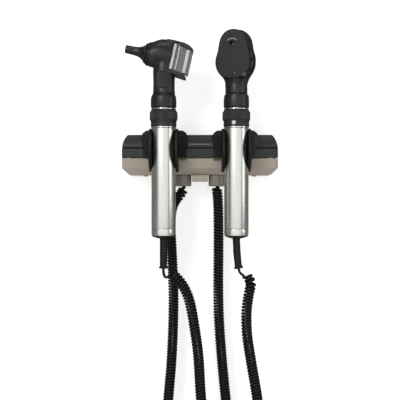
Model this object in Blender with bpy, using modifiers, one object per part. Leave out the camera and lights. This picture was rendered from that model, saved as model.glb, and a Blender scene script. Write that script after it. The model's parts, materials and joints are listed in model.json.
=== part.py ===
"""Wall diagnostic set: a mains wall unit with an otoscope and an ophthalmoscope.

Every size below is in millimetres and the helpers turn it into metres. The origin is the
middle of the wall face: +X runs to the reader's right, -Y comes out of the wall, +Z is up.
"""
import math

import bmesh
import bpy
from mathutils import Matrix, Vector

MM = 0.001
GAP = 0.3                       # clearance between pieces that touch

# Wall unit
BODY_HALF_WIDTH = 95.5
BODY_FRONT = -42.5
BODY_REAR = -0.8
BODY_BOTTOM = -25.0
BODY_TOP = 24.0
SPLIT_Z = -5.0                  # joint between the lower tray and the upper cover
CREASE_Z = 7.7                  # above it the cover leans back
TOP_INSET = 6.7                 # how far the cover leans in by its top
TRAY_CHAMFER = 8.0
WALL = 2.2
POD_TOP = 29.0
POD_HALF_BASE = 28.0
POD_HALF_TOP = 22.8
PLATE_THICKNESS = 4.0
GLAND_X = 21.0
GLAND_Y = -25.0
GLAND_RADIUS = 10.4
GLAND_BOTTOM = -39.0

# Handles
HANDLE_X = 43.4
HANDLE_Y = -62.0
TUBE_RADIUS = 14.5
TUBE_BORE = 13.3
TUBE_TOP = 28.9
TUBE_BOTTOM = -89.9
CAP_BOTTOM = -98.1
BEZEL_BOTTOM = -101.7
COLLAR_RADIUS = 16.6
COLLAR_TOP = 51.0
COLLAR_BOTTOM = 31.4
RING_TOP = 53.2
HEAD_Z = RING_TOP + GAP         # where an instrument head sits on its handle
RELIEF_RADIUS = 4.5
RELIEF_BOTTOM = -137.6

# Otoscope head: the optical axis leans up towards the ear by this angle
OPTIC_Z = 114.45
OPTIC_TILT = math.radians(12.1)
MOUNT_FACE = 17.2               # distances along the optical axis
HEAD_REAR = -8.6
SPECULUM_TIP = 46.4
CHANNEL_RADIUS = 7.0
LENS_HALF_WIDTH = 10.2

# Ophthalmoscope head: turned on its handle by this angle
OPH_TURN = math.radians(-15.0)
DIAL_X = -1.9
DIAL_Z = 108.8
DIAL_RADIUS = 23.3
LENS_RING_RADIUS = 20.5
WHEEL_X = 11.8                  # aperture wheel
WHEEL_Z = 91.8
LENS_COUNT = 12

# Curly cords
COIL_RADIUS = 6.65
CORD_RADIUS = 1.75
COIL_STEP = 14.0                # spacing of the coil tube's points
TAIL_STEP = 5.0

# Points by hand along each coil, from the gland down, round its loop and up to the tail
LEFT_COIL = [
    (-21.0, -25.0, -39.3), (-21.0, -25.0, -43.0), (-24.4, -25.0, -49.5),
    (-30.8, -25.0, -57.5), (-35.2, -25.0, -70.0), (-36.4, -25.0, -90.0),
    (-34.5, -25.0, -130.0),
    (-33.0, -25.0, -170.0), (-33.4, -25.0, -210.0), (-35.6, -25.0, -258.0),
    (-39.5, -25.0, -304.0), (-42.0, -26.0, -345.0), (-33.0, -32.0, -381.0),
    (-13.0, -46.0, -393.0), (5.0, -60.0, -376.0), (8.0, -66.0, -338.0),
    (1.4, -66.0, -294.0), (-2.0, -66.0, -242.0), (-6.5, -66.0, -208.0),
    (-11.5, -66.0, -180.0), (-17.0, -66.0, -164.0), (-24.2, -66.0, -152.3),
    (-32.3, -65.4, -144.0)]
RIGHT_COIL = [
    (21.0, -25.0, -39.3), (21.0, -25.0, -43.0), (22.2, -25.0, -55.0),
    (22.9, -25.0, -80.0),
    (23.0, -25.0, -115.0), (22.7, -25.0, -160.0), (23.5, -25.0, -202.0),
    (26.8, -25.0, -250.0), (32.1, -25.0, -304.0), (38.0, -26.0, -345.0),
    (48.0, -33.0, -379.0), (60.0, -46.0, -391.0), (70.0, -59.0, -376.0),
    (72.0, -66.0, -336.0), (68.3, -66.0, -294.0), (61.0, -66.0, -250.0),
    (56.0, -66.0, -217.0), (55.2, -66.0, -190.0), (57.6, -66.0, -170.0),
    (60.3, -65.8, -155.0), (56.2, -65.0, -146.5)]
LEFT_TAIL = [
    (-43.6, -62.0, -138.0), (-43.5, -62.2, -143.0), (-41.6, -63.0, -147.6),
    (-38.4, -64.0, -147.6), (-36.8, -64.6, -145.0)]
RIGHT_TAIL = [
    (46.2, -62.0, -138.0), (47.0, -62.2, -141.4), (48.9, -62.8, -144.0),
    (50.9, -63.5, -145.3), (52.6, -64.2, -146.1)]


def clear_scene():
    for obj in list(bpy.data.objects):
        bpy.data.objects.remove(obj, do_unlink=True)


def new_collection(name):
    collection = bpy.data.collections.new(name)
    bpy.context.scene.collection.children.link(collection)
    return collection


clear_scene()
PARTS = new_collection("diagnostic_set")
CUTTERS = new_collection("cutters")


def make_material(name, colour, roughness, metallic=0.0, transmission=0.0):
    material = bpy.data.materials.new(name)
    material.use_nodes = True
    shader = material.node_tree.nodes["Principled BSDF"]
    shader.inputs["Base Color"].default_value = (*colour, 1.0)
    shader.inputs["Roughness"].default_value = roughness
    shader.inputs["Metallic"].default_value = metallic
    shader.inputs["Transmission Weight"].default_value = transmission
    material.diffuse_color = (*colour, 1.0)
    return material


BLACK = make_material("black_plastic", (0.045, 0.045, 0.047), 0.45)
BEIGE = make_material("beige_plastic", (0.40, 0.36, 0.30), 0.5)
GREY = make_material("grey_plastic", (0.20, 0.17, 0.15), 0.5)
SILVER = make_material("anodised_tube", (0.72, 0.73, 0.68), 0.3, 1.0)
CHROME = make_material("plated_ring", (0.8, 0.8, 0.8), 0.12, 1.0)
MAROON = make_material("maroon_bezel", (0.05, 0.008, 0.01), 0.4)
RUBBER = make_material("cord_rubber", (0.018, 0.018, 0.018), 0.6)
CLEAR = make_material("clear_acrylic", (0.9, 0.9, 0.9), 0.05, 0.0, 1.0)
AMBER = make_material("indicator_lens", (0.08, 0.08, 0.01), 0.3)
COPPER = make_material("copper_winding", (0.6, 0.25, 0.08), 0.35, 1.0)
STEEL = make_material("bare_steel", (0.5, 0.5, 0.5), 0.35, 1.0)
BRASS = make_material("brass_contact", (0.7, 0.5, 0.2), 0.3, 1.0)
BOARD = make_material("circuit_board", (0.02, 0.14, 0.05), 0.5)


def add(name, data, material=None, parent=None, at=(0, 0, 0), turn=(0, 0, 0)):
    """Put an object in the parts collection, or with no material in the cutters."""
    obj = bpy.data.objects.new(name, data)
    obj.parent = parent
    obj.location = Vector(at) * MM
    obj.rotation_euler = turn
    if material is None:
        obj.hide_render = True
        obj.display_type = "WIRE"
        CUTTERS.objects.link(obj)
    else:
        data.materials.append(material)
        PARTS.objects.link(obj)
    return obj


def joint_axis(name, at, turn=(0, 0, 0), parent=None):
    """An empty on a moving piece's axis; the piece hangs from it."""
    empty = bpy.data.objects.new(name, None)
    empty.empty_display_size = 0.01
    empty.parent = parent
    empty.location = Vector(at) * MM
    empty.rotation_euler = turn
    PARTS.objects.link(empty)
    return empty


def turned(name, profile, material=None, parent=None, steps=24, bored=False, **where):
    """Turn a profile of (radius, height), listed from the top down its outer side."""
    mesh = bpy.data.meshes.new(name)
    points = [(radius * MM, 0.0, height * MM) for radius, height in profile]
    edges = [(i, i + 1) for i in range(len(points) - 1)]
    if bored:
        edges.append((len(points) - 1, 0))
    mesh.from_pydata(points, edges, [])
    obj = add(name, mesh, material, parent, **where)
    screw = obj.modifiers.new("Turn", "SCREW")
    screw.steps = steps
    screw.render_steps = steps
    screw.use_merge_vertices = True
    screw.merge_threshold = 0.00001
    return obj


def sleeve(name, radius, bore, top, bottom, material=None, parent=None, **where):
    """A plain bored cylinder."""
    profile = [(radius, top), (radius, bottom), (bore, bottom), (bore, top)]
    return turned(name, profile, material, parent, bored=True, **where)


def rod(name, radius, top, bottom, material=None, parent=None, **where):
    """A plain solid cylinder."""
    profile = [(0, top), (radius, top), (radius, bottom), (0, bottom)]
    return turned(name, profile, material, parent, **where)


def block(name, low, high, material=None, parent=None, **where):
    """A box between two corners."""
    low, high = Vector(low) * MM, Vector(high) * MM
    shape = bmesh.new()
    bmesh.ops.create_cube(shape, size=1.0)
    for vert in shape.verts:
        vert.co = Vector([(a + b) / 2 + c * (b - a) for a, b, c in zip(low, high, vert.co)])
    mesh = bpy.data.meshes.new(name)
    shape.to_mesh(mesh)
    shape.free()
    return add(name, mesh, material, parent, **where)


def to_mesh_object(guide, name, material, parent, at, turn):
    """Replace a curve by a welded mesh, so that it can be cut."""
    bpy.context.view_layer.update()
    graph = bpy.context.evaluated_depsgraph_get()
    mesh = bpy.data.meshes.new_from_object(guide.evaluated_get(graph))
    shape = bmesh.new()
    shape.from_mesh(mesh)
    bmesh.ops.remove_doubles(shape, verts=shape.verts, dist=0.000005)
    bmesh.ops.recalc_face_normals(shape, faces=shape.faces)
    shape.to_mesh(mesh)
    shape.free()
    bpy.data.objects.remove(guide, do_unlink=True)
    mesh.materials.clear()
    return add(name, mesh, material, parent, at, turn)


def prism(name, outline, depth, material=None, parent=None, at=(0, 0, 0), turn=(0, 0, 0)):
    """Extrude a flat outline by depth, half to each side of its plane."""
    curve = bpy.data.curves.new(name, "CURVE")
    curve.dimensions = "2D"
    curve.fill_mode = "BOTH"
    curve.extrude = depth * MM / 2
    spline = curve.splines.new("POLY")
    spline.points.add(len(outline) - 1)
    for point, (x, y) in zip(spline.points, outline):
        point.co = (x * MM, y * MM, 0.0, 1.0)
    spline.use_cyclic_u = True
    guide = bpy.data.objects.new(name + "_outline", curve)
    CUTTERS.objects.link(guide)
    return to_mesh_object(guide, name, material, parent, at, turn)


def wire(name, points, radius, material, parent=None, swell=None, resolution=2, **where):
    """A round tube along points; swell scales its radius point by point."""
    curve = bpy.data.curves.new(name, "CURVE")
    curve.dimensions = "3D"
    curve.bevel_depth = radius * MM
    curve.bevel_resolution = resolution
    curve.use_fill_caps = True
    spline = curve.splines.new("POLY")
    spline.points.add(len(points) - 1)
    for index, (point, place) in enumerate(zip(spline.points, points)):
        point.co = (*(Vector(place) * MM), 1.0)
        point.radius = swell[index] if swell else 1.0
    return add(name, curve, material, parent, **where)


def loft(name, rings, material=None, parent=None, **where):
    """Skin a stack of rings, each listed anticlockwise as seen from the last ring."""
    shape = bmesh.new()
    loops = [[shape.verts.new(Vector(p) * MM) for p in ring] for ring in rings]
    count = len(rings[0])
    for lower, upper in zip(loops, loops[1:]):
        for i in range(count):
            j = (i + 1) % count
            shape.faces.new((lower[i], lower[j], upper[j], upper[i]))
    shape.faces.new(list(reversed(loops[0])))
    shape.faces.new(loops[-1])
    bmesh.ops.recalc_face_normals(shape, faces=shape.faces)
    mesh = bpy.data.meshes.new(name)
    shape.to_mesh(mesh)
    shape.free()
    mesh.shade_smooth()
    mesh.set_sharp_from_angle(angle=math.radians(35))
    return add(name, mesh, material, parent, **where)


def combine(obj, other, operation="DIFFERENCE", solver="EXACT"):
    """Cut, join or trim obj with a cutter."""
    boolean = obj.modifiers.new(operation.title() + "_" + other.name, "BOOLEAN")
    boolean.operation = operation
    boolean.solver = solver
    boolean.object = other
    return obj


def oval(centre_x, radius_x, radius_y, height, count=24):
    """A ring of an oval that lies across the height axis."""
    angles = [2 * math.pi * i / count for i in range(count)]
    return [(centre_x + radius_x * math.cos(t), radius_y * math.sin(t), height) for t in angles]


def rectangle(half_x, front, rear, height):
    """A ring of a rectangle between a front and a rear Y."""
    return [(-half_x, front, height), (half_x, front, height),
            (half_x, rear, height), (-half_x, rear, height)]


def smooth_route(points, step):
    """Points a step apart along the smooth curve through the route's points."""
    points = [Vector(p) for p in points]
    ends = [2 * points[0] - points[1], *points, 2 * points[-1] - points[-2]]
    fine = []
    for a, b, c, d in zip(ends, ends[1:], ends[2:], ends[3:]):
        for k in range(24):
            t = k / 24
            fine.append(0.5 * (2 * b + (c - a) * t + (2 * a - 5 * b + 4 * c - d) * t ** 2
                               + (3 * b - a - 3 * c + d) * t ** 3))
    fine.append(points[-1])
    lengths = [0.0]
    for a, b in zip(fine, fine[1:]):
        lengths.append(lengths[-1] + (b - a).length)
    count = max(2, round(lengths[-1] / step))
    route = []
    index = 0
    for k in range(count + 1):
        wanted = lengths[-1] * k / count
        while index < len(fine) - 2 and lengths[index + 1] < wanted:
            index += 1
        share = (wanted - lengths[index]) / (lengths[index + 1] - lengths[index])
        route.append(fine[index].lerp(fine[index + 1], share))
    return route


def build_wall_unit():
    """Back plate, two-part housing, cradles, glands and the transformer inside."""
    plate = block("back_plate", (-86.5, -PLATE_THICKNESS, -20.5), (86.5, 0.0, 20.5), STEEL)
    for side in (-1, 1):
        hole = rod("keyhole", 3.0, 2.0, -8.0, at=(side * 72.0, 0, 6.0), turn=(math.pi / 2, 0, 0))
        combine(plate, hole)

    rim = BODY_BOTTOM + TRAY_CHAMFER
    inner = BODY_HALF_WIDTH - TRAY_CHAMFER
    tray = loft("lower_tray", [
        rectangle(inner, BODY_FRONT + TRAY_CHAMFER, BODY_REAR, BODY_BOTTOM),
        rectangle(BODY_HALF_WIDTH, BODY_FRONT, BODY_REAR, rim),
        rectangle(BODY_HALF_WIDTH, BODY_FRONT, BODY_REAR, SPLIT_Z)], BEIGE)
    combine(tray, loft("tray_hollow", [
        rectangle(inner - 1, BODY_FRONT + TRAY_CHAMFER + 1, 5.0, BODY_BOTTOM + WALL),
        rectangle(BODY_HALF_WIDTH - WALL, BODY_FRONT + WALL, 5.0, rim + 1),
        rectangle(BODY_HALF_WIDTH - WALL, BODY_FRONT + WALL, 5.0, SPLIT_Z + 5)]))

    cover = loft("upper_cover", [
        rectangle(BODY_HALF_WIDTH, BODY_FRONT, BODY_REAR, SPLIT_Z + GAP),
        rectangle(BODY_HALF_WIDTH, BODY_FRONT, BODY_REAR, CREASE_Z),
        rectangle(BODY_HALF_WIDTH - TOP_INSET, BODY_FRONT + TOP_INSET, BODY_REAR, BODY_TOP)],
        BLACK)
    for side in (-1, 1):
        pod = loft("pod", [
            rectangle(POD_HALF_BASE, BODY_FRONT, BODY_REAR, CREASE_Z),
            rectangle(POD_HALF_BASE, BODY_FRONT, BODY_REAR, BODY_TOP),
            rectangle(POD_HALF_TOP, BODY_FRONT, BODY_REAR, POD_TOP)],
            at=(side * HANDLE_X, 0, 0))
        combine(cover, pod, "UNION")
    combine(cover, loft("cover_hollow", [
        rectangle(BODY_HALF_WIDTH - WALL, BODY_FRONT + WALL, 5.0, SPLIT_Z - 5),
        rectangle(BODY_HALF_WIDTH - WALL, BODY_FRONT + WALL, 5.0, CREASE_Z),
        rectangle(BODY_HALF_WIDTH - TOP_INSET - WALL, BODY_FRONT + TOP_INSET + WALL, 5.0,
                  BODY_TOP - WALL)]))

    for side, label in ((-1, "left"), (1, "right")):
        build_cradle(label, side)
        turned(label + "_gland", [
            (GLAND_RADIUS - 1, BODY_BOTTOM - GAP), (GLAND_RADIUS, BODY_BOTTOM - 1.3),
            (GLAND_RADIUS, GLAND_BOTTOM + 0.8), (GLAND_RADIUS - 0.8, GLAND_BOTTOM),
            (4.5, GLAND_BOTTOM), (4.5, BODY_BOTTOM - GAP)],
            GREY, bored=True, at=(side * GLAND_X, GLAND_Y, 0))
        block(label + "_indicator", (side * 20.0 - 3.4, BODY_FRONT - 0.9, SPLIT_Z - 2.6),
              (side * 20.0 + 3.4, BODY_FRONT - GAP, SPLIT_Z + 0.6), AMBER)

    inlet = block("inlet_block", (-9.8, -38.0, -33.0), (9.8, -12.0, BODY_BOTTOM - GAP), BEIGE)
    combine(inlet, block("inlet_socket", (-6.5, -32.0, -36.0), (6.5, -18.0, -27.5)))

    core = block("transformer_core", (-24.0, -32.0, -14.0), (24.0, -8.0, 16.0), STEEL)
    for side in (-1, 1):
        combine(core, block("core_window", (side * 11.5 - 4.5, -40, -9.0),
                            (side * 11.5 + 4.5, 0, 11.0)))
    sleeve("transformer_windings", 11.3, 7.6, 9.0, -5.0, COPPER, at=(56.0, -20.0, 0))
    block("circuit_board", (-86.0, -34.0, -10.0), (-34.0, -32.4, 14.0), BOARD)

    for label, x in (("left", -68.0), ("right", 68.0)):
        place = (x, -16.0, BODY_BOTTOM)
        combine(tray, rod("screw_hole", 1.8, 4.0, -2.0, at=place))
        turned(label + "_cover_screw", [
            (0, 8.0), (1.4, 8.0), (1.4, -GAP), (2.8, -GAP), (2.8, -1.6), (0, -1.6)],
            STEEL, steps=12, at=place)


def build_cradle(label, side):
    """A forked holder: its arms reach furthest forward at half height."""
    inner = TUBE_RADIUS + GAP
    outer = inner + 2.7
    flange = BODY_FRONT - GAP - HANDLE_Y
    bore = rod("cradle_bore", inner, 40, -40)
    bore.location = Vector((side * HANDLE_X, HANDLE_Y, 0)) * MM
    cradle = prism(label + "_cradle", [
        (-outer, -9.5), (-outer + 2.0, -12.4), (outer - 2.0, -12.4), (outer, -9.5),
        (outer, flange), (-outer, flange)], POD_TOP - BODY_BOTTOM - 3.0, BLACK,
        at=(side * HANDLE_X, HANDLE_Y, (POD_TOP + BODY_BOTTOM + 3.0) / 2))
    profile = prism(label + "_cradle_side", [
        (25, -30), (25, 35), (12.0, 35), (2.0, POD_TOP), (-9.0, 8.0), (-12.5, 2.0),
        (-9.0, -6.0), (-2.0, -17.0), (3.0, -21.5), (8.0, -23.0), (12.0, -30)], 60,
        at=(side * HANDLE_X, HANDLE_Y, 0), turn=(math.pi / 2, 0, math.pi / 2))
    combine(cradle, profile, "INTERSECT")
    combine(cradle, bore)


def build_handle(label, side):
    """A corded handle in its cradle; returns the axis that a head is set on."""
    axis = joint_axis(label + "_handle_axis", (side * HANDLE_X, HANDLE_Y, 0))
    sleeve(label + "_handle_tube", TUBE_RADIUS, TUBE_BORE, TUBE_TOP, TUBE_BOTTOM, SILVER, axis)
    turned(label + "_end_cap", [
        (TUBE_BORE - GAP, TUBE_BOTTOM + 6), (TUBE_BORE - GAP, TUBE_BOTTOM - GAP),
        (TUBE_RADIUS, TUBE_BOTTOM - GAP), (TUBE_RADIUS, CAP_BOTTOM),
        (6.0, CAP_BOTTOM), (6.0, TUBE_BOTTOM + 6)], SILVER, axis, bored=True)
    turned(label + "_end_bezel", [
        (TUBE_RADIUS - 0.3, CAP_BOTTOM - GAP), (TUBE_RADIUS - 1.6, CAP_BOTTOM - 1.8),
        (7.0, BEZEL_BOTTOM), (5.0, BEZEL_BOTTOM), (5.0, CAP_BOTTOM - GAP)],
        MAROON, axis, bored=True)
    lean = 2.8 if side > 0 else -0.2
    heights = [-99.0, -101.0, -102.5, -112.0, -122.0, -130.0, -135.4, -135.5, RELIEF_BOTTOM]
    swell = [0.95, 0.95, 1.03, 1.0, 0.98, 0.98, 0.98, 1.22, 1.22]
    drop = [(-99.0 - z) / (-99.0 - RELIEF_BOTTOM) for z in heights]
    wire(label + "_strain_relief", [(lean * d ** 2, 0, z) for d, z in zip(drop, heights)],
         RELIEF_RADIUS, RUBBER, axis, swell, resolution=4)
    sleeve(label + "_lower_ring", 14.9, 12.6, 31.1, TUBE_TOP + GAP, CHROME, axis)
    sleeve(label + "_upper_ring", 14.8, 8.0, RING_TOP, COLLAR_TOP + GAP, CHROME, axis)
    turned(label + "_contact_carrier", [
        (12.0, COLLAR_TOP), (12.0, 22.0), (2.8, 22.0), (2.8, COLLAR_TOP)],
        BLACK, axis, bored=True)
    turned(label + "_contact_pin", [
        (0, 55.6), (1.2, 55.4), (2.2, 54.6), (2.2, 21.4), (3.6, 21.4), (3.6, 19.8), (0, 19.8)],
        BRASS, axis, steps=12)
    turns, per_turn = 5, 10
    coil = [(3.2 * math.cos(2 * math.pi * k / per_turn), 3.2 * math.sin(2 * math.pi * k / per_turn),
             19.0 - 12.0 * k / (turns * per_turn)) for k in range(turns * per_turn + 1)]
    wire(label + "_contact_spring", coil, 0.45, STEEL, axis, resolution=0)
    turn_axis = joint_axis(label + "_rheostat_axis", (0, 0, 0), parent=axis)
    turned(label + "_rheostat_collar", [
        (12.3, COLLAR_TOP), (14.6, COLLAR_TOP), (COLLAR_RADIUS, 48.4), (COLLAR_RADIUS, 39.2),
        (15.4, 38.6), (15.1, COLLAR_BOTTOM), (12.3, COLLAR_BOTTOM)],
        BLACK, turn_axis, bored=True)
    return axis


def build_otoscope(handle):
    """Head with its jaws, sliding viewing lens, ear speculum and lighting."""
    head = joint_axis("oto_head_axis", (0, 0, 0), parent=handle)
    optic = joint_axis("oto_optic_axis", (0, 0, OPTIC_Z), (0, OPTIC_TILT - math.pi / 2, 0), head)
    turned("oto_base", [
        (13.3, 70.0), (13.8, 69.0), (15.1, 66.0), (15.4, 60.0), (15.1, HEAD_Z),
        (8.4, HEAD_Z), (8.4, 70.0)], BLACK, head, bored=True)

    sections = [(0.1, 14.2, 14.2, MOUNT_FACE - GAP), (1.2, 15.9, 14.9, 12.5),
                (2.2, 17.2, 15.3, 8.5), (3.0, 17.8, 15.4, 4.0), (3.4, 17.8, 15.1, -3.0),
                (3.3, 17.4, 14.4, HEAD_REAR - 1.0)]
    rings = [oval(x, rx, ry, z) for x, rx, ry, z in reversed(sections)]
    shell = loft("oto_head_shell", rings, BLACK, optic)
    neck = loft("oto_neck", [
        oval(0.4, 13.3, 13.3, 70.3), oval(0.4, 12.9, 12.9, 76.0), oval(0.5, 12.9, 12.9, 88.0),
        oval(0.6, 13.2, 13.2, 98.0), oval(0.6, 12.2, 12.6, 108.0)], parent=head)
    combine(shell, neck, "UNION")
    on_side = (math.pi / 2, 0, 0)
    upper_jaw = prism("oto_upper_jaw", [
        (10.0, -0.4), (20.4, -0.4), (20.6, -9.2), (20.0, -21.6), (18.6, -27.0), (16.4, -30.9),
        (14.2, -33.6), (10.0, -33.6)], 23.0, parent=optic, turn=on_side)
    lower_jaw = prism("oto_lower_jaw", [
        (-12.0, -0.6), (-12.0, -31.3), (-20.3, -31.6), (-20.6, -30.0), (-19.4, -19.0),
        (-18.0, -8.0), (-17.0, -0.6)], 23.4, parent=optic, turn=on_side)
    lens_bay = prism("oto_lens_bay", [
        (17.9, HEAD_REAR), (17.9, -15.5), (13.0, -27.6), (13.0, -40.0), (-20.8, -40.0),
        (-20.2, -31.9), (-15.9, -27.0), (-14.1, HEAD_REAR)], 50.0, parent=optic, turn=on_side)
    combine(shell, upper_jaw, "UNION")
    combine(shell, lower_jaw, "UNION")
    combine(shell, lens_bay)
    combine(shell, rod("oto_channel", CHANNEL_RADIUS, 30, -12, parent=optic))
    combine(shell, rod("oto_lamp_bore", 6.2, 113, 60, parent=head), solver="MANIFOLD")
    combine(shell, block("oto_label_recess", (-8.2, -20, 76.0), (8.2, -12.2, 95.0), parent=head))
    block("oto_label_panel", (-7.9, -13.2, 76.3), (7.9, -12.5, 94.7), GREY, head)

    turned("oto_lamp", [
        (0, 94.0), (1.8, 93.0), (2.9, 90.0), (3.1, 74.0), (4.4, 72.0), (4.4, 57.0), (3.0, 56.0),
        (0, 56.0)], STEEL, head, steps=16)
    guide = smooth_route([(0, 0, 95.5), (0, 0, 101.0), (-1.2, 0, 107.0), (-5.0, 0, 110.6),
                          (-11.0, 0, 112.1)], 2.6)
    wire("oto_light_guide", guide, 1.4, CLEAR, head)
    turned("oto_speculum_mount", [
        (7.9, 25.0), (8.9, 20.8), (12.6, 20.8), (14.3, MOUNT_FACE + 1.2),
        (14.3, MOUNT_FACE), (6.9, MOUNT_FACE), (6.9, 25.0)], STEEL, optic, bored=True)

    pull = joint_axis("ear_speculum_axis", (0, 0, 0), parent=optic)
    turned("ear_speculum", [
        (4.2, SPECULUM_TIP), (4.9, 45.4), (5.1, 36.0), (5.6, 31.0), (7.2, 27.0),
        (9.3, 24.0), (12.2, 21.6), (12.2, 21.1), (9.3, 21.1), (9.0, 22.0), (8.4, 25.3),
        (6.2, 27.3), (4.6, 31.0), (4.1, 36.0), (3.7, SPECULUM_TIP)], BLACK, pull, bored=True)
    slide = joint_axis("viewing_lens_axis", (0, 0, 0), parent=optic)
    prism("viewing_lens", [
        (17.4, -9.4), (17.3, -15.4), (12.6, -27.2), (12.4, -33.0), (-15.4, -32.6),
        (-15.3, -27.0), (-13.6, -9.4)], 2 * LENS_HALF_WIDTH, CLEAR, slide, turn=on_side)


SHELL_FOOT = [(16.8, 90.8), (14.4, 86.4), (13.2, 82.0)]
HOLLOW_FOOT = [(16.8, 90.8), (14.4, 86.4)]
PLATE_FOOT = [(15.0, 91.6), (10.5, 89.2), (5.0, 88.4)]


def oph_outline(inset, foot):
    """A small circle above a large one, drawn in by inset, ending in the foot's points."""
    right = [(0.0, 148.2), (7.6, 146.8), (13.8, 142.6), (18.0, 136.4), (19.9, 129.0),
             (21.2, 121.5), (22.9, 115.5), (23.4, 108.8), (22.6, 102.0), (20.2, 96.0), *foot]
    points = [(x * (1 - inset / 22) - 0.5, 112 + (z - 112) * (1 - inset / 32)) for x, z in right]
    left = [(-1.0 - x, z) for x, z in reversed(points[1:])]
    return points + left


def build_ophthalmoscope(handle):
    """Two-shell head with its lens dial, aperture wheel, mirror and lighting."""
    head = joint_axis("oph_head_axis", (0, 0, 0), (0, 0, OPH_TURN), handle)
    facing = (math.pi / 2, 0, 0)
    turned("oph_base", [
        (13.3, 70.0), (13.6, 69.2), (14.8, 68.4), (15.2, 62.0), (15.1, HEAD_Z),
        (8.4, HEAD_Z), (8.4, 70.0)], BLACK, head, bored=True)

    shell = prism("oph_rear_shell", oph_outline(0, SHELL_FOOT), 17.0, BLACK, head, (0, 1.5, 0), facing)
    combine(shell, loft("oph_neck", [
        oval(0, 13.2, 13.2, 70.3), oval(0, 13.2, 13.2, 76.0), oval(-0.2, 13.2, 12.4, 82.0),
        oval(-0.5, 13.6, 9.9, 88.5), oval(-0.5, 13.2, 8.1, 95.5)], parent=head), "UNION")
    combine(shell, prism("oph_hollow", oph_outline(2.6, HOLLOW_FOOT), 17.0, parent=head,
                         at=(0, -0.7, 0), turn=facing))
    combine(shell, prism("oph_plate_seat", oph_outline(0.1, PLATE_FOOT), 9.0, parent=head,
                         at=(0, -11.65, 0), turn=facing))
    combine(shell, rod("oph_lamp_bore", 6.2, 92, 60, parent=head))
    combine(shell, rod("oph_light_window", 4.6, -5.0, -13.0, parent=head,
                       at=(-3.2, 0, 127.6), turn=facing))
    combine(shell, rod("oph_wheel_pocket", 3.0, 14.0, 4.8, parent=head,
                       at=(WHEEL_X, 0, WHEEL_Z), turn=facing))
    combine(shell, rod("oph_dial_slot", DIAL_RADIUS + 0.5, 4.4, -1.6, parent=head,
                       at=(DIAL_X, 0, DIAL_Z), turn=facing))
    combine(shell, rod("oph_axle_hole", 1.5, 0, -14, parent=head,
                       at=(DIAL_X, 0, DIAL_Z), turn=facing))

    front = prism("oph_front_shell", oph_outline(0.5, PLATE_FOOT), 2.7, BLACK, head, (0, -8.65, 0), facing)
    for name, radius, x, z in (("oph_sight_hole", 2.6, -3.2, 129.3),
                               ("oph_wheel_hole", 1.5, WHEEL_X, WHEEL_Z)):
        combine(front, rod(name, radius, 20, 4, parent=head, at=(x, 0, z), turn=facing))
    combine(front, block("oph_readout_hole", (-2.4, -14, 91.4), (2.4, -5, 96.2), parent=head))
    block("oph_readout_window", (-2.1, -9.7, 91.7), (2.1, -7.6, 95.9), AMBER, head)
    turned("oph_eye_ring", [(2.9, 11.4), (4.6, 11.4), (5.6, 10.3), (2.9, 10.3)], RUBBER, head,
           bored=True, at=(-3.2, 0, 129.3), turn=facing)

    dial_axis = joint_axis("lens_dial_axis", (DIAL_X, 0, DIAL_Z), facing, head)
    dial = sleeve("lens_dial", DIAL_RADIUS, 2.2, 4.0, -1.2, BLACK, dial_axis)
    for k in range(LENS_COUNT):
        t = math.radians(93.6) + 2 * math.pi * k / LENS_COUNT
        spot = (LENS_RING_RADIUS * math.cos(t), LENS_RING_RADIUS * math.sin(t), 0)
        combine(dial, turned("lens_seat", [(0, 6), (2.2, 6), (2.2, -4), (0, -4)],
                             parent=dial_axis, steps=12, at=spot))
    turned("dial_axle", [
        (0, 5.0), (1.9, 5.0), (1.9, -1.4), (1.2, -1.6), (1.2, -9.7), (0, -9.7)],
        STEEL, head, steps=12, at=(DIAL_X, 0, DIAL_Z), turn=facing)
    wheel_axis = joint_axis("aperture_wheel_axis", (WHEEL_X, 0, WHEEL_Z), facing, head)
    turned("aperture_wheel", [
        (0, 12.6), (3.0, 12.6), (3.6, 12.0), (3.6, 10.3), (1.2, 10.3), (1.2, 7.0),
        (2.6, 7.0), (2.6, 5.0), (0, 5.0)], BLACK, wheel_axis, steps=16)
    block("oph_mirror", (-6.2, 2.4, 123.5), (-0.2, 5.6, 129.5), STEEL, head)
    rod("oph_condenser_lens", 4.2, 84.8, 82.8, CLEAR, head)
    turned("oph_lamp", [
        (0, 82.0), (1.8, 81.4), (3.0, 79.0), (3.2, 74.0), (4.4, 72.0), (4.4, 57.0), (3.0, 56.0),
        (0, 56.0)], STEEL, head, steps=16)


def build_cords():
    """Each cord: the outer shape of its curly stretch and its short straight tail."""
    for label, coil, tail in (("left", LEFT_COIL, LEFT_TAIL), ("right", RIGHT_COIL, RIGHT_TAIL)):
        run = [coil[0], *smooth_route(coil[1:], COIL_STEP)]
        wire(label + "_curly_cord", run, COIL_RADIUS, RUBBER)
        wire(label + "_cord_tail", smooth_route(tail, TAIL_STEP), CORD_RADIUS, RUBBER)


build_wall_unit()
build_otoscope(build_handle("left", -1))
build_ophthalmoscope(build_handle("right", 1))
build_cords()
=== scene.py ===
"""Looks of the wall diagnostic set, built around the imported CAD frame. Units are metres."""
import json
import math

import bmesh
import bpy
from mathutils import Matrix, Vector


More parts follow.
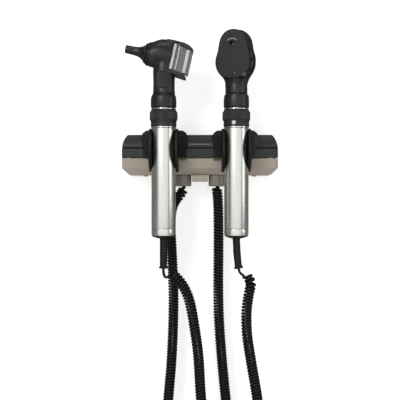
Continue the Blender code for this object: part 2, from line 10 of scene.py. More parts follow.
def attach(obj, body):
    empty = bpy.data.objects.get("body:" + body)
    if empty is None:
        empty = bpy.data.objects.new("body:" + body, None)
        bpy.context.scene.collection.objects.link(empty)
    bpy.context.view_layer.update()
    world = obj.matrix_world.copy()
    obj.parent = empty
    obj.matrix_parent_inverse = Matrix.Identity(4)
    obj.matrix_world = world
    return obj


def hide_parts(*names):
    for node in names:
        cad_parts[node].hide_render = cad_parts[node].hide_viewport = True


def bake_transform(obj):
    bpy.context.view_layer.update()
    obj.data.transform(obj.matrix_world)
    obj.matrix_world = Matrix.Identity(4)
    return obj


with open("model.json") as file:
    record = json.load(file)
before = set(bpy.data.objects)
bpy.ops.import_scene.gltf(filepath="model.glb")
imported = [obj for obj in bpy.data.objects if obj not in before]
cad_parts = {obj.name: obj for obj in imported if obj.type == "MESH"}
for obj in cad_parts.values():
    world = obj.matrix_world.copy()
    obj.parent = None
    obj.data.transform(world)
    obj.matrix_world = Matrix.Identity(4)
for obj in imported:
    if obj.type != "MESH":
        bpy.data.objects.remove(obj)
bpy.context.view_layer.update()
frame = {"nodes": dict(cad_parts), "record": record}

MM = 0.001
HANDLE_X = 0.0434
HANDLE_Y = -0.062
WIRE_RADIUS = 0.0017
HELIX_RADIUS = 0.00495          # of the wire's centre line about the coil's own line
TURN_PITCH = 0.00352            # close-wound turns on a straight stretch
POINTS_PER_TURN = 14
ROUTE_STEPS = 24                # in-between points to each pair of route points
ROUTE_GAP = 0.0005              # between the points a coil's turns are laid along
TAIL_GAP = 0.0009


# ---------------------------------------------------------------- camera, stage and lights

FOCAL_LENGTH, SENSOR_WIDTH = 67.5, 36.0
CAMERA_PLACE = (0.0, -0.957, -0.056)
WALL_Y = 0.0008                 # just behind the back plate
FLOOR_PLACE = (0, -1.0, -0.47)
WALL_GLOW = 0.55
MIRRORED_WALL = (0.16, 0.165, 0.155, 1)
STAGE_HALF = 3.0
WORLD_STRENGTH = 0.16
LIGHTS_AIM = (0, -0.04, -0.05)


def add_camera():
    data = bpy.data.cameras.new("camera")
    data.lens = FOCAL_LENGTH
    data.sensor_width = SENSOR_WIDTH
    camera = bpy.data.objects.new("camera", data)
    camera.location = CAMERA_PLACE
    camera.rotation_euler = (math.radians(90), 0, 0)
    bpy.context.scene.collection.objects.link(camera)
    bpy.context.scene.camera = camera


def add_area(name, place, aim, width, height, power, colour=(1, 1, 1)):
    data = bpy.data.lights.new(name, "AREA")
    data.shape = "RECTANGLE"
    data.size = width
    data.size_y = height
    data.energy = power
    data.color = colour
    lamp = bpy.data.objects.new(name, data)
    lamp.location = place
    lamp.rotation_euler = (Vector(aim) - Vector(place)).to_track_quat("-Z", "Y").to_euler()
    bpy.context.scene.collection.objects.link(lamp)


def wall_white():
    """A glowing white that is see-through from behind and dim where gloss mirrors it."""
    white = bpy.data.materials.new("stage_white")
    white.use_nodes = True
    nodes, links = white.node_tree.nodes, white.node_tree.links
    shader = nodes["Principled BSDF"]
    shader.inputs["Base Color"].default_value = (0.93, 0.93, 0.93, 1)
    shader.inputs["Roughness"].default_value = 0.9
    shader.inputs["Emission Color"].default_value = (1, 1, 1, 1)
    shader.inputs["Emission Strength"].default_value = WALL_GLOW
    back = nodes.new("ShaderNodeNewGeometry")
    clear = nodes.new("ShaderNodeBsdfTransparent")
    mix = nodes.new("ShaderNodeMixShader")
    # Mirrors of the wall in metal and plastic are toned down, as a studio's dark room does
    ray = nodes.new("ShaderNodeLightPath")
    dim = nodes.new("ShaderNodeEmission")
    dim.inputs["Color"].default_value = MIRRORED_WALL
    tone = nodes.new("ShaderNodeMixShader")
    links.new(ray.outputs["Is Glossy Ray"], tone.inputs[0])
    links.new(shader.outputs[0], tone.inputs[1])
    links.new(dim.outputs[0], tone.inputs[2])
    links.new(back.outputs["Backfacing"], mix.inputs[0])
    links.new(tone.outputs[0], mix.inputs[1])
    links.new(clear.outputs[0], mix.inputs[2])
    links.new(mix.outputs[0], nodes["Material Output"].inputs["Surface"])
    return white


def add_stage():
    """A white wall right behind the back plate, and a pale floor."""
    white = wall_white()
    pale = bpy.data.materials.new("stage_pale")
    pale.use_nodes = True
    pale.node_tree.nodes["Principled BSDF"].inputs["Base Color"].default_value = (0.5, 0.5, 0.5, 1)
    half = STAGE_HALF
    corners = [(-half, -half, 0), (half, -half, 0), (half, half, 0), (-half, half, 0)]
    for name, place, turn, material in (
            ("stage_wall", (0, WALL_Y, 0), (math.radians(90), 0, 0), white),
            ("stage_floor", FLOOR_PLACE, (0, 0, 0), pale)):
        mesh = bpy.data.meshes.new(name)
        mesh.from_pydata(corners, [], [(0, 1, 2, 3)])
        mesh.materials.append(material)
        sheet = bpy.data.objects.new(name, mesh)
        sheet.location = place
        sheet.rotation_euler = turn
        bpy.context.scene.collection.objects.link(sheet)


def add_lights():
    world = bpy.data.worlds.new("studio")
    world.use_nodes = True
    world.node_tree.nodes["Background"].inputs["Color"].default_value = (1, 1, 1, 1)
    world.node_tree.nodes["Background"].inputs["Strength"].default_value = WORLD_STRENGTH
    bpy.context.scene.world = world
    aim = LIGHTS_AIM
    # One wide soft box behind the camera fills the front; the rest give it direction
    add_area("front", (-0.1, -1.5, 0.15), aim, 3.4, 1.5, 13)
    add_area("key", (-0.75, -1.6, 0.75), aim, 0.5, 0.5, 7)
    add_area("side", (1.3, -0.55, 0.25), aim, 0.5, 0.9, 2.5)
    add_area("top", (0.0, -0.5, 1.4), aim, 0.8, 0.5, 3)


add_camera()
add_stage()
add_lights()
bpy.context.scene.view_settings.view_transform = "Standard"


# ---------------------------------------------------------------- materials

def procedural(name, colour, rough, metallic=0.0, grain=900.0, bump=0.03, mottle=0.12,
               rough_spread=0.08, stretch=(1, 1, 1), **sockets):
    """A moulded or metal surface: fine grain in the bump, slow mottling in colour and gloss."""
    material = bpy.data.materials.new(name)
    material.use_nodes = True
    nodes, links = material.node_tree.nodes, material.node_tree.links
    shader = nodes["Principled BSDF"]
    shader.inputs["Metallic"].default_value = metallic
    for socket, value in sockets.items():
        shader.inputs[socket.replace("_", " ")].default_value = value
    place = nodes.new("ShaderNodeTexCoord")
    scale = nodes.new("ShaderNodeMapping")
    scale.inputs["Scale"].default_value = stretch
    links.new(place.outputs["Object"], scale.inputs["Vector"])
    slow = nodes.new("ShaderNodeTexNoise")
    slow.inputs["Scale"].default_value = grain / 25
    slow.inputs["Detail"].default_value = 3
    links.new(scale.outputs["Vector"], slow.inputs["Vector"])
    ramp = nodes.new("ShaderNodeValToRGB")
    ramp.color_ramp.elements[0].position = 0.3
    ramp.color_ramp.elements[1].position = 0.7
    ramp.color_ramp.elements[0].color = (*[c * (1 - mottle) for c in colour], 1)
    ramp.color_ramp.elements[1].color = (*[min(1, c * (1 + mottle)) for c in colour], 1)
    links.new(slow.outputs["Fac"], ramp.inputs["Fac"])
    links.new(ramp.outputs["Color"], shader.inputs["Base Color"])
    gloss = nodes.new("ShaderNodeMapRange")
    gloss.inputs["To Min"].default_value = rough - rough_spread
    gloss.inputs["To Max"].default_value = rough + rough_spread
    links.new(slow.outputs["Fac"], gloss.inputs["Value"])
    links.new(gloss.outputs["Result"], shader.inputs["Roughness"])
    fine = nodes.new("ShaderNodeTexNoise")
    fine.inputs["Scale"].default_value = grain
    fine.inputs["Detail"].default_value = 2
    links.new(scale.outputs["Vector"], fine.inputs["Vector"])
    relief = nodes.new("ShaderNodeBump")
    relief.inputs["Strength"].default_value = bump
    relief.inputs["Distance"].default_value = 0.0004
    links.new(fine.outputs["Fac"], relief.inputs["Height"])
    links.new(relief.outputs["Normal"], shader.inputs["Normal"])
    return material


BLACK = procedural("moulded_black", (0.018, 0.018, 0.0185), 0.42, grain=1600, bump=0.06)
HEAD_BLACK = procedural("head_black", (0.012, 0.012, 0.012), 0.36, grain=2200, bump=0.08)
COLLAR_BLACK = procedural("collar_black", (0.02, 0.02, 0.021), 0.46, grain=1800, bump=0.05)
GLOSS_BLACK = procedural("speculum_black", (0.012, 0.012, 0.012), 0.22, grain=1500, bump=0.02)
BEIGE = procedural("moulded_beige", (0.48, 0.42, 0.345), 0.5, grain=1600, bump=0.09,
                   mottle=0.04)
GREY = procedural("gland_grey", (0.27, 0.235, 0.205), 0.3, grain=1200, bump=0.03,
                  mottle=0.06)
TUBE = procedural("satin_aluminium", (0.80, 0.81, 0.76), 0.27, 1.0, grain=700, bump=0.015,
                  mottle=0.02, rough_spread=0.03, stretch=(3, 3, 0.15))
CHROME = procedural("plated_ring", (0.86, 0.86, 0.85), 0.12, 1.0, grain=900, bump=0.01,
                    mottle=0.03, rough_spread=0.04)
MAROON = procedural("maroon_plastic", (0.035, 0.007, 0.009), 0.35, grain=1300, bump=0.03)
RUBBER = procedural("cord_rubber", (0.006, 0.006, 0.006), 0.38, grain=1500, bump=0.05,
                    rough_spread=0.1, Specular_IOR_Level=0.3)
STEEL = procedural("bare_steel", (0.5, 0.5, 0.49), 0.34, 1.0, grain=800, bump=0.03,
                   stretch=(0.2, 1, 2))
COPPER = procedural("copper_wire", (0.62, 0.27, 0.11), 0.3, 1.0, grain=500, bump=0.3,
                    stretch=(0.2, 0.2, 6))
BRASS = procedural("brass_contact", (0.72, 0.52, 0.22), 0.25, 1.0, grain=900, bump=0.02)
BOARD = procedural("coated_board", (0.02, 0.13, 0.05), 0.35, grain=700, bump=0.15, mottle=0.4)
OLIVE = procedural("indicator_olive", (0.085, 0.085, 0.012), 0.25, grain=600, bump=0.02)
RED_WINDOW = procedural("readout_red", (0.09, 0.022, 0.015), 0.15, grain=600, bump=0.02)
LAMP = procedural("lamp_glass", (0.75, 0.74, 0.7), 0.12, 0.8, grain=600, bump=0.02)
MIRROR = procedural("mirror_face", (0.9, 0.9, 0.9), 0.06, 1.0, grain=600, bump=0.004,
                    mottle=0.01, rough_spread=0.02)
LABEL = procedural("label_plastic", (0.016, 0.016, 0.016), 0.5, grain=1400, bump=0.06)
CLEAR = procedural("clear_acrylic", (0.76, 0.77, 0.77), 0.03, grain=400, bump=0.001,
                   mottle=0.01, rough_spread=0.01, Transmission_Weight=1.0, IOR=1.49)

# Looks of pieces whose colour in the photo differs from their CAD slot
WHITE_INK = procedural("white_mark", (0.82, 0.82, 0.80), 0.5, grain=900, bump=0.02, mottle=0.03)
FACE_BLACK = procedural("face_black", (0.014, 0.014, 0.014), 0.5, grain=2200, bump=0.06,
                        Specular_IOR_Level=0.35)
GREY_MARK = procedural("grey_mark", (0.34, 0.34, 0.33), 0.5, grain=900, bump=0.02, mottle=0.03)
# Painted shade: a near-black, barely reflective strip laid in the crease groove to read as its dark
# shade line
GROOVE_SHADE_BLACK = procedural("groove_painted_shade", (0.004, 0.004, 0.004), 0.8, grain=1600, bump=0.02,
                        Specular_IOR_Level=0.1)
# Painted shade: the cradles are the cover's black plastic, made darker and less reflective so their
# arms read as dark shade beside the handles
CRADLE_SHADE_BLACK = procedural("cradle_painted_shade", (0.007, 0.007, 0.007), 0.42, grain=1600, bump=0.04,
                          Specular_IOR_Level=0.3)
DARK_STEEL = procedural("blackened_steel", (0.06, 0.06, 0.062), 0.38, 1.0, grain=800, bump=0.02)
FROSTED = procedural("frosted_rim", (0.62, 0.64, 0.63), 0.4, grain=900, bump=0.05)

CAD_FINISH = {
    "black_plastic": BLACK, "beige_plastic": BEIGE, "grey_plastic": GREY,
    "anodised_tube": TUBE, "plated_ring": CHROME, "maroon_plastic": MAROON, "rubber": RUBBER,
    "clear_acrylic": CLEAR, "indicator_window": OLIVE, "label_plastic": LABEL,
    "mirror_face": MIRROR, "lamp": LAMP, "copper_winding": COPPER, "circuit_board": BOARD,
    "brass_contact": BRASS, "bare_steel": STEEL}
SLOT_OF = {row["node"]: row["material_slot"] for row in frame["record"]["subparts"]}


def finish_cad_nodes():
    """Every carried-over CAD solid gets the procedural material of its slot."""
    for node, obj in frame["nodes"].items():
        material = CAD_FINISH[SLOT_OF[node]]
        for index in range(len(obj.material_slots)):
            obj.material_slots[index].material = material


finish_cad_nodes()


# ---------------------------------------------------------------- curly cords

# The coil routes and tails repeat part.py's points, here in metres
LEFT_COIL = [
    (-0.0210, -0.025, -0.0393), (-0.0210, -0.025, -0.0430), (-0.0244, -0.025, -0.0495),
    (-0.0308, -0.025, -0.0575), (-0.0352, -0.025, -0.0700), (-0.0364, -0.025, -0.0900),
    (-0.0345, -0.025, -0.1300), (-0.0330, -0.025, -0.1700), (-0.0334, -0.025, -0.2100),
    (-0.0356, -0.025, -0.2580), (-0.0395, -0.025, -0.3040), (-0.0420, -0.026, -0.3450),
    (-0.0330, -0.032, -0.3810), (-0.0130, -0.046, -0.3930), (0.0050, -0.060, -0.3760),
    (0.0080, -0.066, -0.3380), (0.0014, -0.066, -0.2940), (-0.0020, -0.066, -0.2420),
    (-0.0065, -0.066, -0.2080), (-0.0115, -0.066, -0.1800), (-0.0170, -0.066, -0.1640),
    (-0.0242, -0.066, -0.1523), (-0.0323, -0.0654, -0.1440)]
RIGHT_COIL = [
    (0.0210, -0.025, -0.0393), (0.0210, -0.025, -0.0430), (0.0222, -0.025, -0.0550),
    (0.0229, -0.025, -0.0800), (0.0230, -0.025, -0.1150), (0.0227, -0.025, -0.1600),
    (0.0235, -0.025, -0.2020), (0.0268, -0.025, -0.2500), (0.0321, -0.025, -0.3040),
    (0.0380, -0.026, -0.3450), (0.0480, -0.033, -0.3790), (0.0600, -0.046, -0.3910),
    (0.0700, -0.059, -0.3760), (0.0720, -0.066, -0.3360), (0.0683, -0.066, -0.2940),
    (0.0610, -0.066, -0.2500), (0.0560, -0.066, -0.2170), (0.0552, -0.066, -0.1900),
    (0.0576, -0.066, -0.1700), (0.0603, -0.0658, -0.1550), (0.0562, -0.0650, -0.1465)]
LEFT_TAIL = [
    (-0.0436, -0.0620, -0.1380), (-0.0435, -0.0622, -0.1430), (-0.0416, -0.0630, -0.1476),
    (-0.0384, -0.0640, -0.1476), (-0.0368, -0.0646, -0.1450)]
RIGHT_TAIL = [
    (0.0462, -0.0620, -0.1380), (0.0470, -0.0622, -0.1414), (0.0489, -0.0628, -0.1440),
    (0.0509, -0.0635, -0.1453), (0.0526, -0.0642, -0.1461)]


def smoothed(rows, steps=4):
    """The rows of numbers with smooth in-between rows added."""
    rows = [Vector(row) for row in rows]
    ends = [2 * rows[0] - rows[1], *rows, 2 * rows[-1] - rows[-2]]
    result = []
    for a, b, c, d in zip(ends, ends[1:], ends[2:], ends[3:]):
        for k in range(steps):
            t = k / steps
            result.append(0.5 * (2 * b + (c - a) * t + (2 * a - 5 * b + 4 * c - d) * t ** 2
                                 + (3 * b - a - 3 * c + d) * t ** 3))
    return [*result, rows[-1]]


def smooth_route(points, step):
    """Points a step apart along the smooth curve through the route's points."""
    fine = smoothed(points, ROUTE_STEPS)
    lengths = [0.0]
    for a, b in zip(fine, fine[1:]):
        lengths.append(lengths[-1] + (b - a).length)
    count = max(2, round(lengths[-1] / step))
    route = []
    index = 0
    for k in range(count + 1):
        wanted = lengths[-1] * k / count
        while index < len(fine) - 2 and lengths[index + 1] < wanted:
            index += 1
        share = (wanted - lengths[index]) / (lengths[index + 1] - lengths[index])
        route.append(fine[index].lerp(fine[index + 1], share))
    return route


def carried_frames(line):
    """Tangent, normal and binormal at each point, turned as little as the line allows."""
    tangents = [(line[min(i + 1, len(line) - 1)] - line[max(i - 1, 0)]).normalized()
                for i in range(len(line))]
    normal = tangents[0].orthogonal().normalized()
    frames = []
    for i, tangent in enumerate(tangents):
        if i:
            turn = tangents[i - 1].rotation_difference(tangent)
            normal = (turn @ normal).normalized()
        frames.append((tangent, normal, tangent.cross(normal)))
    return frames


def helix_path(coil, tail):
    """The wire's centre line: out of the gland, round every turn, and along the tail."""
    line = smooth_route(coil, ROUTE_GAP)
    frames = carried_frames(line)
    turns = [0.0]
    for i in range(1, len(line)):
        step = (line[i] - line[i - 1]).length
        bend = frames[i - 1][0].angle(frames[i][0], 0.0) / step
        turns.append(turns[-1] + step / (TURN_PITCH * (1 + 0.8 * HELIX_RADIUS * bend)))
    _, normal, side = frames[-1]
    reach = Vector(tail[-1]) - line[-1]
    end_angle = math.atan2(reach.dot(side), reach.dot(normal))
    total = turns[-1]
    path = [line[0] + Vector((0, 0, 0.006)), line[0] + Vector((0, 0, 0.002))]
    index = 0
    for k in range(1, int(total * POINTS_PER_TURN) + 1):
        turn = k / POINTS_PER_TURN + total % (1 / POINTS_PER_TURN)
        while index < len(turns) - 2 and turns[index + 1] < turn:
            index += 1
        share = min(1.0, (turn - turns[index]) / (turns[index + 1] - turns[index]))
        centre = line[index].lerp(line[index + 1], share)
        _, normal, side = frames[index]
        angle = end_angle - 2 * math.pi * (total - turn)
        radius = HELIX_RADIUS * min(1.0, turn / 0.8)
        path.append(centre + radius * (math.cos(angle) * normal + math.sin(angle) * side))
    path += smooth_route(list(reversed(tail)), TAIL_GAP)[1:]
    path.append(path[-1] + Vector((0, 0, 0.003)))
    return path


def tube_mesh(name, path, radius, sides=8):
    """A closed round tube whose rings are centred on the path's points."""
    shape = bmesh.new()
    rings = []
    for point, (_, normal, side) in zip(path, carried_frames(path)):
        rings.append([shape.verts.new(point + radius * (math.cos(a) * normal + math.sin(a) * side))
                      for a in (2 * math.pi * k / sides for k in range(sides))])
    for lower, upper in zip(rings, rings[1:]):
        for i in range(sides):
            j = (i + 1) % sides
            shape.faces.new((lower[i], lower[j], upper[j], upper[i]))
    shape.faces.new(list(reversed(rings[0])))
    shape.faces.new(rings[-1])
    bmesh.ops.recalc_face_normals(shape, faces=shape.faces)
    mesh = bpy.data.meshes.new(name)
    shape.to_mesh(mesh)
    shape.free()
    mesh.shade_smooth()
    return mesh


def link_piece(name, mesh, material):
    obj = bpy.data.objects.new(name, mesh)
    mesh.materials.append(material)
    bpy.context.scene.collection.objects.link(obj)
    return obj


def make_cord(label, coil, tail):
    path = helix_path(coil, tail)
    cord = link_piece(label + "_cord", tube_mesh(label + "_cord", path, WIRE_RADIUS),
                      RUBBER)
    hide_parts(label + "_curly_cord", label + "_cord_tail")
    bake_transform(cord)


make_cord("left", LEFT_COIL, LEFT_TAIL)
make_cord("right", RIGHT_COIL, RIGHT_TAIL)


# ---------------------------------------------------------------- places and shape helpers

LEFT_AXIS = Matrix.Translation((-HANDLE_X, HANDLE_Y, 0))
RIGHT_AXIS = Matrix.Translation((HANDLE_X, HANDLE_Y, 0))
OPTIC_TILT = math.radians(12.1)
OPTIC = (LEFT_AXIS @ Matrix.Translation((0, 0, 0.11445))
         @ Matrix.Rotation(OPTIC_TILT - math.pi / 2, 4, "Y"))
OPH_HEAD = RIGHT_AXIS @ Matrix.Rotation(math.radians(-15), 4, "Z")
FACING = Matrix.Rotation(math.pi / 2, 4, "X")


def filleted(profile, radius, closed):
    """The profile with each corner replaced by a short arc, so that edges catch the light."""
    count = len(profile)
    points = []
    for i, (x, y) in enumerate(profile):
        here = Vector((x, y))
        if not closed and i in (0, count - 1):
            points.append(here)
            continue
        before = Vector(profile[i - 1]) - here
        after = Vector(profile[(i + 1) % count]) - here
        reach = min(radius, 0.45 * before.length, 0.45 * after.length)
        start = here + reach * before.normalized()
        end = here + reach * after.normalized()
        for t in (0, 0.25, 0.5, 0.75, 1):
            points.append(start * (1 - t) ** 2 + 2 * here * t * (1 - t) + end * t ** 2)
    return points


def shaded(shape, name, angle=32):
    bmesh.ops.recalc_face_normals(shape, faces=shape.faces)
    mesh = bpy.data.meshes.new(name)
    shape.to_mesh(mesh)
    shape.free()
    mesh.shade_smooth()
    mesh.set_sharp_from_angle(angle=math.radians(angle))
    return mesh


def turned_mesh(name, profile, place, closed, segments=96, fillet=0.35, radial=None):
    """Turn a profile of (radius, height) in millimetres; radial(r, z, angle) may vary r."""
    shape = bmesh.new()
    rings = []
    for r, z in filleted(profile, fillet, closed):
        if r < 1e-6:
            rings.append([shape.verts.new(place @ (Vector((0, 0, z)) * MM))])
            continue
        ring = []
        for k in range(segments):
            a = 2 * math.pi * k / segments
            reach = radial(r, z, a) if radial else r
            ring.append(shape.verts.new(
                place @ (Vector((reach * math.cos(a), reach * math.sin(a), z)) * MM)))
        rings.append(ring)
    pairs = list(zip(rings, rings[1:]))
    if closed:
        pairs.append((rings[-1], rings[0]))
    for upper, lower in pairs:
        for i in range(segments):
            j = (i + 1) % segments
            if len(upper) == 1:
                shape.faces.new((upper[0], lower[i], lower[j]))
            elif len(lower) == 1:
                shape.faces.new((upper[i], lower[0], upper[j]))
            else:
                shape.faces.new((upper[i], lower[i], lower[j], upper[j]))
    return shaded(shape, name)


def turned(node, profile, place, material, body, closed=False, **shape):
    """A smooth turned piece that stands for one CAD node."""
    piece = link_piece(node + "_fine", turned_mesh(node + "_fine", profile, place, closed, **shape),
                       material)
    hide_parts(node)
    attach(piece, body)
    return piece


# ---------------------------------------------------------------- moulded shapes

def ovals(sections, count=72):
    """Rings across the height axis from rows of (centre x, radius x, radius y, height)."""
    turns = [2 * math.pi * k / count for k in range(count)]
    return [[(cx + rx * math.cos(t), ry * math.sin(t), z) for t in turns]
            for cx, rx, ry, z in sections]


def skin(rings, place, name="skin"):
    """A closed mesh over a stack of rings given in millimetres."""
    shape = bmesh.new()
    loops = [[shape.verts.new(place @ (Vector(p) * MM)) for p in ring] for ring in rings]
    for lower, upper in zip(loops, loops[1:]):
        for i in range(len(lower)):
            j = (i + 1) % len(lower)
            shape.faces.new((lower[i], lower[j], upper[j], upper[i]))
    shape.faces.new(list(reversed(loops[0])))
    shape.faces.new(loops[-1])
    return shaded(shape, name)


def slab(outline, low, high, place):
    """An outline of (x, z) points with a flat face at local y = low and another at y = high."""
    return skin([[(x, y, z) for x, z in outline] for y in (low, high)], place)


def box(low, high, place=Matrix.Identity(4)):
    corners = [(low[0], low[2]), (high[0], low[2]), (high[0], high[2]), (low[0], high[2])]
    return slab(corners, low[1], high[1], place)


def round_bar(radius, low, high, place, count=48):
    return skin(ovals([(0, radius, radius, low), (0, radius, radius, high)], count), place)


def temporary(mesh):
    obj = bpy.data.objects.new("temporary", mesh)
    bpy.context.scene.collection.objects.link(obj)
    return obj


def evaluated(obj):
    """The object's mesh with its modifiers applied; the object is removed."""
    bpy.context.view_layer.update()
    graph = bpy.context.evaluated_depsgraph_get()
    mesh = bpy.data.meshes.new_from_object(obj.evaluated_get(graph))
    bpy.data.objects.remove(obj, do_unlink=True)
    return mesh


def fused(meshes, voxel):
    """One closed skin round overlapping meshes."""
    joined = bmesh.new()
    for mesh in meshes:
        joined.from_mesh(mesh)
    whole = bpy.data.meshes.new("whole")
    joined.to_mesh(whole)
    joined.free()
    obj = temporary(whole)
    remesh = obj.modifiers.new("Fuse", "REMESH")
    remesh.mode = "VOXEL"
    remesh.voxel_size = voxel * MM
    return evaluated(obj)


def moulded(name, parts, cuts, voxel=0.4, rounds=6):
    """Join the parts, take the cuts away, and soften each edge to a small moulded radius."""
    obj = temporary(fused(parts, voxel))
    cutters = [temporary(cut) for cut in cuts]
    for cutter in cutters:
        cut = obj.modifiers.new("Cut", "BOOLEAN")
        cut.operation = "DIFFERENCE"
        cut.solver = "MANIFOLD"
        cut.object = cutter
    remesh = obj.modifiers.new("Even", "REMESH")
    remesh.mode = "VOXEL"
    remesh.voxel_size = voxel * MM
    soften = obj.modifiers.new("Soften", "SMOOTH")
    soften.factor = 0.5
    soften.iterations = rounds
    mesh = evaluated(obj)
    for cutter in cutters:
        bpy.data.objects.remove(cutter, do_unlink=True)
    mesh.name = name
    mesh.materials.clear()
    mesh.shade_smooth()
    return mesh


def stand_in(node, mesh, material, body, *others):
    """Show a mesh in place of one CAD node, or of several."""
    piece = link_piece(node + "_fine", mesh, material)
    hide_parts(node, *others)
    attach(piece, body)
    return piece


# ---------------------------------------------------------------- handles

KNURL_COUNT = 56
KNURL_DEPTH = 0.42
MARK_AZIMUTH, MARK_SPREAD = -104, 15      # degrees round the right collar


def knurled(r, z, angle):
    """Straight ribs round the collar's wide band."""
    if r < 15.9 or not 39.6 < z < 48.2:
        return r
    wave = math.cos(KNURL_COUNT * angle)
    return r - KNURL_DEPTH * max(0.0, min(1.0, 0.5 - 1.6 * wave))


def make_handle(label, axis):
    body = label + "_handle"
    turned(label + "_handle_tube", [
        (13.3, 28.9), (14.5, 28.9), (14.5, -89.9), (13.3, -89.9)], axis, TUBE, body,
        closed=True, fillet=0.25)
    turned(label + "_end_cap", [
        (13.0, -83.9), (13.0, -90.2), (14.5, -90.2), (14.5, -98.1), (6.0, -98.1),
        (6.0, -83.9)], axis, TUBE, body, closed=True, fillet=0.4)
    turned(label + "_end_bezel", [
        (14.2, -98.4), (13.2, -99.6), (7.0, -101.7), (5.0, -101.7), (5.0, -98.4)],
        axis, MAROON, body, closed=True, fillet=0.5)
    turned(label + "_lower_ring", [
        (12.6, 31.1), (14.9, 31.1), (14.9, 29.2), (12.6, 29.2)], axis, CHROME, body,
        closed=True, fillet=0.5)
    turned(label + "_upper_ring", [
        (8.0, 53.2), (14.3, 53.2), (14.8, 52.2), (14.8, 51.3), (8.0, 51.3)], axis, CHROME,
        body, closed=True, fillet=0.4)
    collar = [(12.3, 51.0), (14.6, 51.0), (16.2, 48.9), (16.6, 48.1), (16.6, 47.9),
              (16.6, 39.9), (16.6, 39.7), (16.3, 39.0), (15.5, 38.5), (15.45, 36.9),
              (15.0, 36.5), (15.0, 35.9), (15.4, 35.5), (15.2, 31.4), (12.3, 31.4)]
    turned(label + "_rheostat_collar", collar, axis, COLLAR_BLACK, label + "_rheostat",
           closed=True, segments=KNURL_COUNT * 8, fillet=0.18, radial=knurled)


def make_index_mark():
    """The white mark on the right rheostat collar, a small raised pad on its lower band."""
    columns = []
    for k in range(9):
        a = math.radians(MARK_AZIMUTH - MARK_SPREAD / 2 + MARK_SPREAD * k / 8)
        columns.append([(r * math.cos(a), r * math.sin(a), z) for r, z in (
            (14.8, 37.2), (15.75, 37.2), (15.75, 33.2), (14.8, 33.2))])
    mark = link_piece("index_mark", skin(columns, RIGHT_AXIS, "index_mark"), WHITE_INK)
    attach(mark, "right_rheostat")


def make_relief(label, axis, lean):
    """The strain relief: a slim sleeve with ribs near its root and a flange at its end."""
    profile = [(0.0, -99.0), (4.3, -99.0), (4.3, -101.8), (4.75, -102.2), (4.75, -103.6),
               (4.4, -104.0), (4.45, -118.0), (4.35, -131.0), (4.4, -135.2), (5.4, -135.6),
               (5.4, -137.6), (0.0, -137.6)]
    top, bottom = -99.0 * MM, -137.6 * MM
    node = label + "_strain_relief"
    mesh = turned_mesh(node + "_fine", profile, Matrix.Identity(4), False, 48, 0.4)
    for vert in mesh.vertices:
        down = (top - vert.co.z) / (top - bottom)
        tilt = 2 * lean * down / (top - bottom)
        vert.co = axis @ Vector((vert.co.x + lean * down ** 2, vert.co.y,
                                 vert.co.z + tilt * vert.co.x))
    piece = link_piece(node + "_fine", mesh, RUBBER)
    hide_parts(node)
    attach(piece, label + "_handle")


make_handle("left", LEFT_AXIS)
make_handle("right", RIGHT_AXIS)
make_index_mark()
make_relief("left", LEFT_AXIS, -0.0002)
make_relief("right", RIGHT_AXIS, 0.0028)


# ---------------------------------------------------------------- otoscope

LENS_HALF_WIDTH = 10.2
PANEL_HALF, PANEL_LOW, PANEL_HEIGHT = 7.8, 76.4, 18.2
PANEL_FRONT, PANEL_REAR = -13.0, -11.6
RIDGE_DEPTH, RIDGE_PITCH = 0.32, 2.02


def otoscope_shell():
    """Domed head with its two jaws, fused to the neck that holds the lamp."""
    dome = skin(ovals(smoothed([
        (3.3, 17.4, 14.4, -9.6), (3.4, 17.8, 15.1, -3.0), (3.0, 17.8, 15.4, 4.0),
        (2.2, 17.2, 15.3, 8.5), (1.2, 15.9, 14.9, 12.5), (0.1, 14.2, 14.2, 16.9)])), OPTIC)
    neck = skin(ovals(smoothed([
        (0.4, 13.3, 13.3, 70.3), (0.4, 12.9, 12.9, 76.0), (0.5, 12.9, 12.9, 88.0),
        (0.6, 13.2, 13.2, 98.0), (0.6, 12.2, 12.6, 108.0)])), LEFT_AXIS)
    upper_jaw = slab([
        (10.0, -0.4), (20.4, -0.4), (20.6, -9.2), (20.0, -21.6), (18.6, -27.0),
        (16.4, -30.9), (14.2, -33.6), (10.0, -33.6)], -11.5, 11.5, OPTIC)
    lower_jaw = slab([
        (-12.0, -0.6), (-12.0, -31.3), (-20.3, -31.6), (-20.6, -30.0), (-19.4, -19.0),
        (-18.0, -8.0), (-17.0, -0.6)], -11.7, 11.7, OPTIC)
    lens_bay = slab([
        (17.9, -8.6), (17.9, -15.5), (13.0, -27.6), (13.0, -40.0), (-20.8, -40.0),
        (-20.2, -31.9), (-15.9, -27.0), (-14.1, -8.6)], -25, 25, OPTIC)
    cuts = [lens_bay, round_bar(6.5, -12, 30, OPTIC), round_bar(6.2, 60, 113, LEFT_AXIS),
            box((-8.2, -20, 76.0), (8.2, -12.0, 95.0), LEFT_AXIS)]
    return moulded("oto_head_shell_fine", [dome, neck, upper_jaw, lower_jaw], cuts, 0.42, 5)


def ridged_panel():
    """The neck's name plate: a bowed panel of fine level ridges, its words left out."""
    columns = []
    rows = 110
    for i in range(17):
        x = -PANEL_HALF + 2 * PANEL_HALF * i / 16
        bow = 0.9 * (x / PANEL_HALF) ** 2
        column = []
        for k in range(rows + 1):
            z = PANEL_LOW + PANEL_HEIGHT * k / rows
            edge = min(1.0, 3 * min(k, rows - k) / rows * 4)
            ridge = RIDGE_DEPTH * abs(math.sin(math.pi * (z - PANEL_LOW) / RIDGE_PITCH)) * edge
            column.append((x, PANEL_FRONT + bow - ridge, z))
        column.append((x, PANEL_REAR, PANEL_LOW + PANEL_HEIGHT))
        column.append((x, PANEL_REAR, PANEL_LOW))
        columns.append(column)
    return skin(columns, LEFT_AXIS, "ridged_panel")


